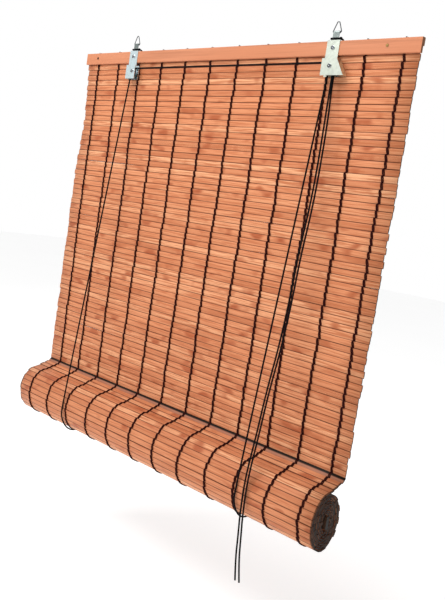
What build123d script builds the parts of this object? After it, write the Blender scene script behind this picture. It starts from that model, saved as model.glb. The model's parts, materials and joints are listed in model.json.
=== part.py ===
"""Bamboo roll-up blind: a head rail hung from two bracket rings, a woven slat curtain,
the rolled-up lower part lying in two cord slings, and the pulleys and lock that raise it.

Frame: X across the blind, +Y towards the wall, +Z up. The origin is midway between the
two hooks, where the hooks bear in the tops of the rings."""

import math
import os

from build123d import *

os.makedirs("parts", exist_ok=True)

# ---------------------------------------------------------------- head rail
blind_width = 600.0
rail_height = 17.0
rail_depth = 6.0
rail_edge_fillet = 0.8
hook_to_rail = 22.5
rail_top = -hook_to_rail
rail_bottom = rail_top - rail_height
rail_front = -rail_depth / 2
rail_back = rail_depth / 2

# ---------------------------------------------------------------- slats
slat_thickness = 1.6
slat_height = 7.25
slat_pitch = 7.9
slat_inset = 2.0
slat_count = 61
first_slat_drop = 0.1
fold_angle = 45.0
rabbet_height = 8.0
rabbet_play = 0.6
slat_length = blind_width - 2 * slat_inset
rabbet_wall = rail_back - slat_thickness - rabbet_play
curtain_front = rabbet_wall
curtain_back = curtain_front + slat_thickness
first_slat_top = rail_bottom + slat_height - first_slat_drop
fold_top = first_slat_top - (slat_count + 1) * slat_pitch

# ---------------------------------------------------------------- warp threads
warp_count = 12
warp_width = 2.4
warp_thickness = 0.5
warp_left_margin = 29.5
warp_right_margin = 21.6
warp_spacing = (blind_width - warp_left_margin - warp_right_margin) / (warp_count - 1)
warp_first = warp_left_margin - blind_width / 2
warp_rail_gap = 0.3
warp_fold_gap = 0.2
warp_knot_radius = 1.3

# ---------------------------------------------------------------- rolled part
roll_half_depth = 28.0
roll_half_height = 36.0
roll_turns = 9
core_half_depth = 6.2
core_half_height = 11.5
roll_middle_y = -24.0
roll_middle_z = fold_top - 48.35
strip_slats = 3
strip_back_y = -0.2
strip_back_z = fold_top - 6.95
coarse_radius = 22.0
bottom_rail_depth = 5.0
bottom_rail_height = 15.2
bottom_rail_corner = 1.0

# ---------------------------------------------------------------- brackets
sheet = 0.8
strap_x = 183.0
strap_width = 18.0
strap_length = 24.0
tongue_width = 9.0
tongue_height = 9.4
foot_depth = 3.9
housing_top = rail_top - 22.0
housing_height = 20.0
wheel_width = 3.0
wheel_gap = 0.25
housing_inner = 2 * wheel_width + 3 * wheel_gap
housing_back = rail_front
housing_back_inner = housing_back - sheet
housing_front_inner = housing_back_inner - housing_inner
housing_front = housing_front_inner - sheet
left_housing = (-strap_x - 4.0, -strap_x + 16.0)
right_housing = (strap_x - 7.0, strap_x + 14.0)
lock_flare = 12.0
left_wheel_x = -strap_x + 10.0
right_wheel_x = strap_x + 5.0
wheel_z = housing_top - 9.0

# ---------------------------------------------------------------- rings
ring_wire = 0.6
ring_clearance = 0.06
ring_half_base = 6.4
ring_apex_radius = 1.9
ring_base_radius = 1.0
curl_inner = ring_wire + ring_clearance
curl_outer = curl_inner + sheet
curl_mid = 60.0
curl_end = -60.0
curl_z = rail_top + sheet + tongue_height + curl_inner

# ---------------------------------------------------------------- wheels, rivets, screws, pins
cord_diameter = 2.2
cord_radius = cord_diameter / 2
cord_pitch_radius = 4.4
groove_clearance = 0.15
wheel_radius = 5.0
rivet_radius = 1.5
rivet_running = 0.06
rivet_head_radius = 2.8
rivet_head_height = 1.3
rivet_tail_radius = 2.1
rivet_tail_height = 0.7
rivet_head_flat = 0.1
spacer_wall = 1.0
hole_clearance = 0.03
hole_end_clearance = 0.2
screw_radius = 1.4
screw_head_radius = 2.7
screw_head_height = 1.3
screw_head_fillet = 0.9
screw_length = 5.0
screw_bite = 4.6
screw_slot_length = 3.0
screw_slot_width = 0.6
screw_slot_depth = 0.8
screw_z = rail_top - 8.0
pin_radius = 0.7
pin_head_radius = 1.7
pin_head_height = 0.5
pin_length = 5.0
pin_margins = (29.0, 43.0)
pin_places = (pin_margins[0] - blind_width / 2, blind_width / 2 - pin_margins[1])
roller_radius = 2.6
roller_seat = 0.3
roller_rest_drop = 7.9
roller_chamfer = 0.3
left_lip_reach = 4.0
lip_reach = 7.0

# ---------------------------------------------------------------- cords
sling_clearance = 0.3
wheel_straight = 8.0
anchor_knot_radius = cord_radius + 0.9
anchor_gap = 0.1
anchor_knot_sink = 0.3
loop_bend_share = 0.9
rail_edge_radius = 2.4
exit_drop = 3.0
wheel_front_y = housing_front_inner + wheel_gap + wheel_width / 2
wheel_back_y = housing_back_inner - wheel_gap - wheel_width / 2
cord_top_z = wheel_z + cord_pitch_radius
cord_exit_z = housing_top - housing_height - exit_drop


def write(builder, name):
    """Label a finished piece and write it as one STEP file."""
    builder.part.label = name
    export_step(builder.part, f"parts/{name}.step")


# ================================================================ head rail
with BuildPart() as headrail:
    with BuildSketch(Plane.YZ.offset(-blind_width / 2)):
        with BuildLine():
            Polyline(
                (rail_front, rail_bottom),
                (rail_front, rail_top),
                (rail_back, rail_top),
                (rail_back, rail_bottom + rabbet_height),
                (rabbet_wall, rail_bottom + rabbet_height),
                (rabbet_wall, rail_bottom),
                close=True,
            )
        make_face()
    extrude(amount=blind_width)
    long_edges = headrail.edges().filter_by(Axis.X)
    fillet(long_edges.group_by(Axis.Y)[0], radius=rail_edge_fillet)
    with Locations(*[Plane((x, rail_front, screw_z), z_dir=(0, -1, 0)) for x in (-strap_x, strap_x)]):
        Hole(radius=screw_radius + hole_clearance, depth=screw_length + hole_end_clearance)
    with Locations(*[Plane((x, rail_front, screw_z), z_dir=(0, -1, 0)) for x in pin_places]):
        Hole(radius=pin_radius + hole_clearance, depth=pin_length + hole_end_clearance)
write(headrail, "headrail")

# ================================================================ hanging slats
with BuildPart() as hanging_slats:
    for row in range(slat_count + 1):
        row_middle = first_slat_top - row * slat_pitch - slat_height / 2
        with BuildSketch(Plane.YZ.offset(-slat_length / 2)):
            with Locations((curtain_front + slat_thickness / 2, row_middle)):
                Rectangle(slat_thickness, slat_height)
        extrude(amount=slat_length)
    with BuildSketch(Plane.YZ.offset(-slat_length / 2)):
        with Locations((curtain_front, fold_top)):
            Rectangle(slat_thickness, slat_height, rotation=-fold_angle, align=(Align.MIN, Align.MAX))
    extrude(amount=slat_length)
write(hanging_slats, "hanging_slats")

# ================================================================ warp threads of the hanging part
warp_places = [warp_first + column * warp_spacing for column in range(warp_count)]
warp_foot = fold_top + warp_fold_gap
warp_head = rail_bottom - warp_rail_gap

with BuildPart() as warp_threads:
    for x in warp_places:
        with BuildSketch(Plane.XZ.offset(-curtain_front)):
            with Locations((x, warp_head)):
                Rectangle(warp_width, warp_head - warp_foot, align=(Align.CENTER, Align.MAX))
        extrude(amount=warp_thickness)
        with BuildSketch(Plane.XZ.offset(-curtain_back)):
            with Locations((x, first_slat_top)):
                Rectangle(warp_width, first_slat_top - warp_foot, align=(Align.CENTER, Align.MAX))
        extrude(amount=-warp_thickness)
write(warp_threads, "warp_threads")

# ---------------------------------------------------------------- their tied ends on the rail
with BuildPart() as warp_knots:
    for x in warp_places:
        with BuildSketch(Plane.XZ.offset(-rail_back)):
            with Locations((x, rail_top)):
                Rectangle(
                    warp_width,
                    rail_height - rabbet_height,
                    align=(Align.CENTER, Align.MAX),
                )
        extrude(amount=-warp_thickness)
        with BuildSketch(Plane.XY.offset(rail_top)):
            with Locations((x, rail_back + warp_thickness - warp_knot_radius)):
                Circle(warp_knot_radius)
        extrude(amount=warp_knot_radius)
write(warp_knots, "warp_knots")


# ================================================================ rolled part
def roll_ring(turn, inward):
    """Point of the rolled strip after so many turns, at the given depth below its outer face."""
    share = turn / roll_turns
    half_depth = roll_half_depth + (core_half_depth - roll_half_depth) * share - inward
    half_height = roll_half_height + (core_half_height - roll_half_height) * share - inward
    angle = math.pi / 2 + 2 * math.pi * turn
    return (
        roll_middle_y + half_depth * math.cos(angle),
        roll_middle_z + half_height * math.sin(angle),
    )


def roll_stations():
    """Turns at which one slat ends and the next begins; the tight inner slats are cut finer."""
    stations = [0.0]
    while stations[-1] < roll_turns:
        share = stations[-1] / roll_turns
        mean = (roll_half_depth + roll_half_height) / 2 * (1 - share)
        mean += (core_half_depth + core_half_height) / 2 * share
        step = slat_pitch if mean > coarse_radius else slat_pitch / 2
        stations.append(stations[-1] + step / (2 * math.pi * mean))
    return stations[:-1]


strip_rise = (strip_back_z - (roll_middle_z + roll_half_height)) / strip_slats
strip_run = (strip_back_y - roll_middle_y) / strip_slats
strip_outer = [(strip_back_y - n * strip_run, strip_back_z - n * strip_rise) for n in range(strip_slats)]
strip_inner = [(y, z - slat_thickness) for y, z in strip_outer]
roll_outer = strip_outer + [roll_ring(turn, 0) for turn in roll_stations()]
roll_inner = strip_inner + [roll_ring(turn, slat_thickness) for turn in roll_stations()]

with BuildPart() as slat_roll:
    with BuildSketch(Plane.YZ.offset(-slat_length / 2)):
        with BuildLine():
            Polyline(*roll_outer, *reversed(roll_inner), close=True)
        make_face()
    extrude(amount=slat_length)
write(slat_roll, "slat_roll")

with BuildPart() as bottom_rail:
    with BuildSketch(Plane.YZ.offset(-blind_width / 2)):
        with Locations((roll_middle_y, roll_middle_z)):
            RectangleRounded(bottom_rail_depth, bottom_rail_height, bottom_rail_corner)
    extrude(amount=blind_width)
write(bottom_rail, "bottom_rail")

# ================================================================ brackets
tongue_sides = {"left": -strap_x, "right": strap_x}


def curl_point(radius, angle):
    """Point of the tongue's curl seen from the side, the angle counted from the back."""
    return (radius * math.cos(math.radians(angle)), curl_z + radius * math.sin(math.radians(angle)))


def bracket(middle, outline, flange, wheel_x, lip):
    """One folded strip: curl, tongue, foot on the rail, strap, housing back, flange and housing front.
    outline is the housing's shape seen from the front, flange the shape of its closed side."""
    with BuildPart() as folded:
        with BuildSketch(Plane.XZ.offset(-housing_back)):
            with Locations((middle, rail_top + sheet)):
                Rectangle(strap_width, strap_length + sheet, align=(Align.CENTER, Align.MAX))
            with BuildLine():
                Polyline(*outline, close=True)
            make_face()
        extrude(amount=sheet)
        with BuildSketch(Plane.XZ.offset(-housing_front_inner)):
            with BuildLine():
                Polyline(*outline, close=True)
            make_face()
        extrude(amount=sheet)
        for shape in (flange, lip):
            with BuildSketch(Plane.XZ.offset(-housing_back_inner)):
                with BuildLine():
                    Polyline(*shape, close=True)
                make_face()
            extrude(amount=housing_inner)
        with BuildSketch(Plane.XY.offset(rail_top)):
            with BuildLine():
                Polyline(
                    (middle - strap_width / 2, rail_front - sheet),
                    (middle + strap_width / 2, rail_front - sheet),
                    (middle + strap_width / 2, rail_front),
                    (middle + tongue_width / 2, rail_front - sheet + foot_depth),
                    (middle - tongue_width / 2, rail_front - sheet + foot_depth),
                    (middle - strap_width / 2, rail_front),
                    close=True,
                )
            make_face()
        extrude(amount=sheet)
        with BuildSketch(Plane.YZ.offset(middle - tongue_width / 2)):
            with BuildLine():
                Polyline(
                    (-curl_inner, curl_z),
                    (-curl_inner, rail_top),
                    (-curl_outer, rail_top),
                    (-curl_outer, curl_z),
                )
                ThreePointArc(
                    (-curl_outer, curl_z),
                    curl_point(curl_outer, curl_mid),
                    curl_point(curl_outer, curl_end),
                )
                Line(curl_point(curl_outer, curl_end), curl_point(curl_inner, curl_end))
                ThreePointArc(
                    curl_point(curl_inner, curl_end),
                    curl_point(curl_inner, curl_mid),
                    (-curl_inner, curl_z),
                )
            make_face()
        extrude(amount=tongue_width)
        with Locations(Plane((middle, rail_front - sheet, screw_z), z_dir=(0, -1, 0))):
            Hole(radius=screw_radius + hole_clearance, depth=sheet)
        with Locations(Plane((wheel_x, housing_front, wheel_z), z_dir=(0, -1, 0))):
            Hole(radius=rivet_radius + hole_clearance, depth=housing_inner + 2 * sheet)
    return folded


housing_bottom = housing_top - housing_height
lh_left, lh_right = left_housing
rh_left, rh_right = right_housing
left_outline = [
    (lh_left, housing_top),
    (lh_right, housing_top),
    (lh_right, housing_bottom),
    (lh_left, housing_bottom),
]
left_flange = [
    (lh_left, housing_top),
    (lh_left + sheet, housing_top),
    (lh_left + sheet, housing_bottom),
    (lh_left, housing_bottom),
]
left_lip = [
    (lh_left, housing_top),
    (lh_left + left_lip_reach, housing_top),
    (lh_left + left_lip_reach, housing_top - sheet),
    (lh_left, housing_top - sheet),
]
right_outline = [
    (rh_left, housing_top),
    (rh_right, housing_top),
    (rh_right + lock_flare, housing_bottom),
    (rh_left, housing_bottom),
]
flare_width = sheet * math.hypot(lock_flare, housing_height) / housing_height
right_flange = [
    (rh_right - flare_width, housing_top),
    (rh_right, housing_top),
    (rh_right + lock_flare, housing_bottom),
    (rh_right + lock_flare - flare_width, housing_bottom),
]
right_lip = [
    (rh_right + lock_flare - lip_reach, housing_bottom),
    (rh_right + lock_flare, housing_bottom),
    (rh_right + lock_flare, housing_bottom + sheet),
    (rh_right + lock_flare - lip_reach, housing_bottom + sheet),
]

left_bracket = bracket(-strap_x, left_outline, left_flange, left_wheel_x, left_lip)
write(left_bracket, "left_bracket")
right_bracket = bracket(strap_x, right_outline, right_flange, right_wheel_x, right_lip)
write(right_bracket, "right_bracket")

# ================================================================ hanging rings
ring_apex_centre = ring_wire - ring_apex_radius
ring_rise = ring_apex_centre - curl_z
ring_lean = math.acos(ring_apex_radius / math.hypot(ring_half_base, ring_rise))
ring_lean -= math.atan2(ring_rise, ring_half_base)
ring_corner_z = curl_z + ring_half_base / math.tan(ring_lean)

for side, middle in tongue_sides.items():
    with BuildPart() as ring:
        with BuildLine() as loop:
            FilletPolyline(
                (middle - ring_half_base, 0, curl_z),
                (middle + ring_half_base, 0, curl_z),
                (middle, 0, ring_corner_z),
                radius=[ring_base_radius, ring_base_radius, ring_apex_radius],
                close=True,
            )
        outline = loop.wire()
        with BuildSketch(Plane(origin=outline @ 0, z_dir=outline % 0)):
            Circle(ring_wire)
        sweep(path=outline)
    write(ring, f"{side}_ring")


# ================================================================ pulley wheels and their rivets
def pulley(x, y):
    """Grooved wheel with its bore on the rivet, centred on the given plane."""
    with BuildPart() as wheel:
        with BuildSketch(Plane((x, y + wheel_width / 2, wheel_z), z_dir=(0, -1, 0))):
            Circle(wheel_radius)
            Circle(rivet_radius + rivet_running, mode=Mode.SUBTRACT)
        extrude(amount=wheel_width)
        with BuildSketch(Plane((x, y, wheel_z), x_dir=(1, 0, 0), z_dir=(0, 0, 1))):
            with Locations((cord_pitch_radius, 0)):
                Circle(cord_radius + groove_clearance)
        revolve(axis=Axis((x, y, wheel_z), (0, 1, 0)), mode=Mode.SUBTRACT)
    return wheel


def rivet(x):
    """Domed rivet through both housing plates, set at the back."""
    with BuildPart() as body:
        with BuildSketch(Plane((x, housing_front, wheel_z), z_dir=(0, -1, 0))):
            Circle(rivet_head_radius)
        extrude(amount=rivet_head_height)
        fillet(body.faces().sort_by(Axis.Y)[0].edges(), radius=rivet_head_height - rivet_head_flat)
        with BuildSketch(Plane((x, housing_front, wheel_z), z_dir=(0, 1, 0))):
            Circle(rivet_radius)
        extrude(amount=housing_back - housing_front)
        with BuildSketch(Plane((x, housing_back, wheel_z), z_dir=(0, 1, 0))):
            Circle(rivet_tail_radius)
        extrude(amount=rivet_tail_height)
    return body


write(pulley(left_wheel_x, wheel_front_y), "left_pulley")
write(pulley(right_wheel_x, wheel_front_y), "right_front_pulley")
write(pulley(right_wheel_x, wheel_back_y), "right_back_pulley")
write(rivet(left_wheel_x), "left_pulley_rivet")
write(rivet(right_wheel_x), "right_pulley_rivet")

with BuildPart() as left_spacer:
    with BuildSketch(Plane((left_wheel_x, housing_back_inner, wheel_z), z_dir=(0, -1, 0))):
        Circle(rivet_radius + spacer_wall)
        Circle(rivet_radius + hole_clearance, mode=Mode.SUBTRACT)
    extrude(amount=wheel_width + wheel_gap)
write(left_spacer, "left_pulley_spacer")

# ================================================================ lock roller
flare_angle = math.atan2(lock_flare, housing_height)
roller_z = housing_top - roller_rest_drop
flange_x = rh_right - flare_width + lock_flare * roller_rest_drop / housing_height
roller_x = flange_x - (roller_radius + roller_seat) / math.cos(flare_angle)

with BuildPart() as lock_roller:
    with BuildSketch(Plane((roller_x, housing_back_inner - wheel_gap, roller_z), z_dir=(0, -1, 0))):
        Circle(roller_radius)
    extrude(amount=housing_inner - 2 * wheel_gap)
    chamfer(lock_roller.edges().filter_by(GeomType.CIRCLE), length=roller_chamfer)
write(lock_roller, "lock_roller")

# ================================================================ bracket screws and rail pins
for side, middle in tongue_sides.items():
    with BuildPart() as screw:
        with BuildSketch(Plane((middle, rail_front - sheet, screw_z), z_dir=(0, -1, 0))):
            Circle(screw_head_radius)
        extrude(amount=screw_head_height)
        fillet(screw.faces().sort_by(Axis.Y)[0].edges(), radius=screw_head_fillet)
        with BuildSketch(Plane((middle, rail_front - sheet, screw_z), z_dir=(0, 1, 0))):
            Circle(screw_radius)
        extrude(amount=sheet + screw_bite)
        with BuildSketch(Plane((middle, rail_front - sheet - screw_head_height, screw_z), z_dir=(0, 1, 0))):
            Rectangle(screw_slot_length, screw_slot_width)
            Rectangle(screw_slot_width, screw_slot_length)
        extrude(amount=screw_slot_depth, mode=Mode.SUBTRACT)
    write(screw, f"{side}_bracket_screw")

with BuildPart() as rail_pins:
    for x in pin_places:
        with BuildSketch(Plane((x, rail_front, screw_z), z_dir=(0, -1, 0))):
            Circle(pin_head_radius)
        extrude(amount=pin_head_height)
        with BuildSketch(Plane((x, rail_front, screw_z), z_dir=(0, 1, 0))):
            Circle(pin_radius)
        extrude(amount=pin_length)
write(rail_pins, "rail_pins")


# ================================================================ cords
def corner_radii(points):
    """0.45 of the shorter run over the tangent of half the turn, for each corner of a route."""
    radii = []
    for before, here, after in zip(points, points[1:], points[2:]):
        run_in = Vector(*here) - Vector(*before)
        run_out = Vector(*after) - Vector(*here)
        half_turn = math.radians(run_in.get_angle(run_out)) / 2
        radii.append(0.45 * min(run_in.length, run_out.length) / math.tan(half_turn))
    return radii


def finish_tube(name, path):
    """Sweep the cord's round section along a finished path and write it."""
    with BuildPart() as tube:
        with BuildSketch(Plane(origin=path @ 0, z_dir=path % 0)):
            Circle(cord_radius)
        sweep(path=path)
    share = tube.part.volume / (path.length * math.pi * cord_radius**2)
    print(name, "length", round(path.length, 1), "volume over section times length", round(share, 4))
    write(tube, name)


def sling_route(x, wheel_y, anchor_x):
    """From the wheel to the roll's front, under it, up behind the curtain and over the rail."""
    reach = sling_clearance + cord_radius
    roll_front_y = roll_ring(0.25, 0)[0]
    roll_bottom_z = roll_ring(0.5, 0)[1]
    roll_back_y = roll_ring(0.75, 0)[0]
    seat_y = (roll_front_y + roll_back_y) / 2
    half_depth = (roll_back_y - roll_front_y) / 2 + reach
    half_height = roll_middle_z - roll_bottom_z + reach
    step = math.pi / 8
    around = [
        (
            x,
            seat_y - half_depth * math.cos(k * step) / math.cos(step),
            roll_middle_z - half_height * math.sin(k * step) / math.cos(step),
        )
        for k in (1, 3, 5, 7)
    ]
    shoulder_z = roll_middle_z + half_height * math.sin(step) / 2
    behind_rail = rail_back + warp_thickness + cord_radius + sling_clearance
    return [
        (x, wheel_y, wheel_z),
        (x, wheel_y, wheel_z - wheel_straight),
        (x, seat_y - half_depth - sling_clearance, shoulder_z),
        *around,
        (x, max(seat_y + half_depth, curtain_back + warp_thickness + reach), shoulder_z),
        (anchor_x, behind_rail, anchor_z),
        (anchor_x, tongue_middle_y + anchor_knot_radius, anchor_z),
    ]


def sling_radii(name, route):
    """Arc radii of a sling; its last corner bears on the rail's top edge."""
    radii = corner_radii(route)
    radii[-1] = rail_edge_radius
    print(name, "arc radii", [round(r, 1) for r in radii])
    return radii


tongue_middle_y = -curl_inner - sheet / 2
anchor_z = rail_top + sheet + anchor_gap + anchor_knot_radius
anchor_reach = tongue_width / 2 + sling_clearance + cord_radius + anchor_knot_radius - anchor_knot_sink
left_anchor_x = -strap_x + anchor_reach
right_anchor_x = strap_x + anchor_reach
half_pitch = cord_pitch_radius * math.sqrt(0.5)

left_sling = sling_route(left_wheel_x - cord_pitch_radius, wheel_front_y, left_anchor_x)
with BuildLine() as left_lift:
    ThreePointArc(
        (left_wheel_x, wheel_front_y, cord_top_z),
        (left_wheel_x - half_pitch, wheel_front_y, wheel_z + half_pitch),
        (left_wheel_x - cord_pitch_radius, wheel_front_y, wheel_z),
    )
    FilletPolyline(*left_sling, radius=sling_radii("left_lift_cord", left_sling))
finish_tube("left_lift_cord", left_lift.wire())

right_sling = sling_route(right_wheel_x - cord_pitch_radius, wheel_back_y, right_anchor_x)
with BuildLine() as right_lift:
    Line(
        (right_wheel_x + cord_pitch_radius, wheel_back_y, cord_exit_z),
        (right_wheel_x + cord_pitch_radius, wheel_back_y, wheel_z),
    )
    ThreePointArc(
        (right_wheel_x + cord_pitch_radius, wheel_back_y, wheel_z),
        (right_wheel_x, wheel_back_y, cord_top_z),
        (right_wheel_x - cord_pitch_radius, wheel_back_y, wheel_z),
    )
    FilletPolyline(*right_sling, radius=sling_radii("right_lift_cord", right_sling))
finish_tube("right_lift_cord", right_lift.wire())

with BuildLine() as cross:
    Line((left_wheel_x, wheel_front_y, cord_top_z), (right_wheel_x, wheel_front_y, cord_top_z))
    ThreePointArc(
        (right_wheel_x, wheel_front_y, cord_top_z),
        (right_wheel_x + half_pitch, wheel_front_y, wheel_z + half_pitch),
        (right_wheel_x + cord_pitch_radius, wheel_front_y, wheel_z),
    )
    Line(
        (right_wheel_x + cord_pitch_radius, wheel_front_y, wheel_z),
        (right_wheel_x + cord_pitch_radius, wheel_front_y, cord_exit_z),
    )
finish_tube("cross_cord", cross.wire())

# the two pull strands hang from the right housing over the front of the roll
pull_exit_x = right_wheel_x + cord_pitch_radius
pull_routes = {
    "front_pull_cord": [
        (pull_exit_x, wheel_front_y, cord_exit_z),
        (pull_exit_x, wheel_front_y, -82.0),
        (196.2, -13.6, -112.0),
        (200.6, -18.8, -167.0),
        (202.6, -23.6, -221.0),
        (201.4, -28.9, -276.0),
        (203.4, -34.0, -331.0),
        (203.2, -39.7, -388.0),
        (199.8, -44.9, -443.0),
        (199.2, -50.0, -497.0),
        (196.8, -54.4, -546.0),
        (197.4, -54.9, -588.0),
        (199.8, -54.2, -622.0),
        (202.0, -55.0, -648.0),
        (206.0, -54.3, -674.0),
    ],
    "back_pull_cord": [
        (pull_exit_x, wheel_back_y, cord_exit_z),
        (pull_exit_x, wheel_back_y, -82.0),
        (198.4, -10.8, -112.0),
        (203.4, -17.2, -168.0),
        (205.6, -22.2, -222.0),
        (204.4, -27.7, -277.0),
        (206.4, -33.0, -332.0),
        (206.2, -38.8, -389.0),
        (202.9, -44.2, -444.0),
        (202.3, -49.4, -498.0),
        (200.6, -54.2, -547.0),
        (201.6, -54.8, -589.0),
        (204.6, -54.3, -623.0),
        (207.6, -55.0, -649.0),
        (212.6, -54.4, -674.0),
    ],
}
for name, route in pull_routes.items():
    radii = corner_radii(route)
    print(name, "arc radii", [round(r, 1) for r in radii])
    with BuildLine() as strand:
        FilletPolyline(*route, radius=radii)
    finish_tube(name, strand.wire())

# ================================================================ anchor knots round the tongues
loop_half_x = tongue_width / 2 + sling_clearance + cord_radius
loop_half_y = sheet / 2 + sling_clearance + cord_radius
for side, middle in tongue_sides.items():
    with BuildPart() as anchor:
        with BuildLine() as loop:
            FilletPolyline(
                (middle - loop_half_x, tongue_middle_y - loop_half_y, anchor_z),
                (middle + loop_half_x, tongue_middle_y - loop_half_y, anchor_z),
                (middle + loop_half_x, tongue_middle_y + loop_half_y, anchor_z),
                (middle - loop_half_x, tongue_middle_y + loop_half_y, anchor_z),
                radius=loop_half_y * loop_bend_share,
                close=True,
            )
        outline = loop.wire()
        with BuildSketch(Plane(origin=outline @ 0, z_dir=outline % 0)):
            Circle(cord_radius)
        sweep(path=outline)
        with Locations((middle + anchor_reach, tongue_middle_y, anchor_z)):
            Sphere(anchor_knot_radius)
    write(anchor, f"{side}_anchor_knot")
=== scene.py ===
"""Bamboo roll-up blind: the woven curtain, the roll, the cords, the finishes and the studio.

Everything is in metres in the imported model's frame: X across the blind, +Y towards the wall,
+Z up, with the origin midway between the two hooks."""

import json
import math

import bpy
from bpy.props import FloatProperty, FloatVectorProperty, IntProperty, PointerProperty
from mathutils import Euler, Matrix, Vector


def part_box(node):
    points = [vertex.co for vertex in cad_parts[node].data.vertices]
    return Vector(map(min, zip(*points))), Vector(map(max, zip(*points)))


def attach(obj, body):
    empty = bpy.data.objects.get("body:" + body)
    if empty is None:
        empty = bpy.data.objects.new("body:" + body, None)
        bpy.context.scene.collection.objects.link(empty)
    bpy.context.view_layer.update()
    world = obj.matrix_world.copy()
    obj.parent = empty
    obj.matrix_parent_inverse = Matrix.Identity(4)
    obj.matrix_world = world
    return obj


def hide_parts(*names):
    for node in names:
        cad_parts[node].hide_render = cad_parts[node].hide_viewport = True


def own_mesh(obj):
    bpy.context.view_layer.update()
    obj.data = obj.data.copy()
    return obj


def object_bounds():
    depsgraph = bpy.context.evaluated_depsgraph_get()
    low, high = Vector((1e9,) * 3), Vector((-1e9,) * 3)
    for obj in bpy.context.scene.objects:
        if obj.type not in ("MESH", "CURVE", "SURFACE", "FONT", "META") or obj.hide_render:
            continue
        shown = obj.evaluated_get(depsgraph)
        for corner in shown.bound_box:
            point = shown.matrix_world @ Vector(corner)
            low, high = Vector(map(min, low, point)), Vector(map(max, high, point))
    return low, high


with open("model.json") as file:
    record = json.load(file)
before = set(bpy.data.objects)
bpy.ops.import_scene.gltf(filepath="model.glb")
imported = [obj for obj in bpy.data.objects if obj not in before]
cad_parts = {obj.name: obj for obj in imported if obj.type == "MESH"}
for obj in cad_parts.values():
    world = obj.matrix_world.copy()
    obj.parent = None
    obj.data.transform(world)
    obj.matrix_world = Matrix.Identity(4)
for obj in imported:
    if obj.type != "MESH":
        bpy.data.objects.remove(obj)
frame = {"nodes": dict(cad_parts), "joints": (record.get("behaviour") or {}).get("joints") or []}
cad_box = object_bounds()

bl_info = {
    "name": "Bamboo Roll-Up Blind",
    "version": (1, 0, 0),
    "blender": (4, 5, 0),
    "location": "View3D > Sidebar > Blind",
    "description": "Weaves a bamboo blind and its roll, lays its cords and sets up a small studio",
    "category": "Add Mesh",
}

# ------------------ places taken from the frame
curtain_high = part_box("hanging_slats")[1]
roll_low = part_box("slat_roll")[0]
core_low, core_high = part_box("bottom_rail")
rail_low, rail_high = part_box("headrail")
ROLL_LIFT = next(j for j in frame["joints"] if j["name"] == "roll_lift")["range_m"][1]

# ------------------ fixed sizes
MM = 0.001
CORD = 0.0022  # the cord's diameter
FIRST_SLAT_DROP = 0.003625  # from the curtain's top to the middle of its first slat
FOLD_ANGLE = math.radians(45)  # how far the folded slat leans out
BOW_MIDDLE, BOW_HALF = 0.085, 0.075  # where the left edge bows out, and half the bow's height
END_SHADE_FROM, END_SHADE_TO = 0.2955, 0.2968  # where the painted shadow band at a wound slat's end begins and is full
CORE_DEPTH, CORE_HEIGHT = 0.0062, 0.0115  # half sizes of the innermost turn
IN_AT_FRONT, IN_AT_BOTTOM = 0.0006, 0.0014  # how far the spiral has come in at those places
STRIP_OUT, STRIP_DOWN = 0.37, 0.14  # from the fold's end to the strip's first point, in pitches
CORE_TURN = 6.0  # turns inside this one are wound from finer slats
OUTER_HEIGHT = 1.06  # wound slats are this much taller, so that no gap opens on the curve
STRAND_SINK = 0.8  # how far out of a slat's face a thread's middle lies, in thread radii
CURTAIN_UNEVEN, ROLL_UNEVEN = 0.0022, 0.0017  # how far the slats' ends vary
LEFT_MORE = 1.6  # the left ends vary by this much more
TILT = 0.0006  # how far a slat's edges lean out
LEAST_KEEP = 0.004  # the least share of its height that a gathered piece keeps
TURN = 2 * math.pi


# ------------------ sizes and colours
def length_of(name, description, default):
    """A setting in metres."""
    return FloatProperty(name=name, description=description, default=default, unit="LENGTH")


def number_of(name, description, default):
    """A setting without a unit, or with the one its description names."""
    return FloatProperty(name=name, description=description, default=default)


def colour_of(name, description, *default):
    """A setting for a linear colour."""
    return FloatVectorProperty(name=name, description=description, subtype="COLOR", default=default)


class BlindSizes(bpy.types.PropertyGroup):
    """Sizes of the woven curtain, its roll and its threads."""

    rows: IntProperty(name="Rows", description="Slats of the hanging curtain", default=62, min=8)
    still_rows: IntProperty(
        name="Still Rows",
        description="Upper slats that stay in place when the blind is raised",
        default=6,
        min=1,
    )
    pitch: length_of("Slat Pitch", "Distance from slat to slat", 0.0079)
    height: length_of("Slat Height", "Height of one slat", 0.0081)
    thickness: length_of("Slat Thickness", "Thickness of one slat", 0.0016)
    length: length_of("Slat Length", "Length of one slat", 0.596)
    first_middle: length_of(
        "First Row", "Height of the middle of the first slat", curtain_high.z - FIRST_SLAT_DROP
    )
    columns: IntProperty(
        name="Thread Columns", description="Columns of paired threads", default=12, min=2
    )
    first_column: length_of("First Column", "Place of the first column", -0.2705)
    column_spacing: length_of("Column Spacing", "From column to column", 0.0499)
    thread_radius: length_of("Thread Radius", "Radius of one thread", 0.00082)
    thread_spread: length_of(
        "Thread Spread", "Distance between the two threads of a column", 0.0020
    )
    roll_turns: number_of("Roll Turns", "Turns of the rolled part", 9.0)
    roll_middle_y: length_of("Roll Middle Y", "Place of the roll's middle", -0.024)
    roll_middle_z: length_of(
        "Roll Middle Z", "Height of the roll's middle", (core_low.z + core_high.z) / 2
    )


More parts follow.
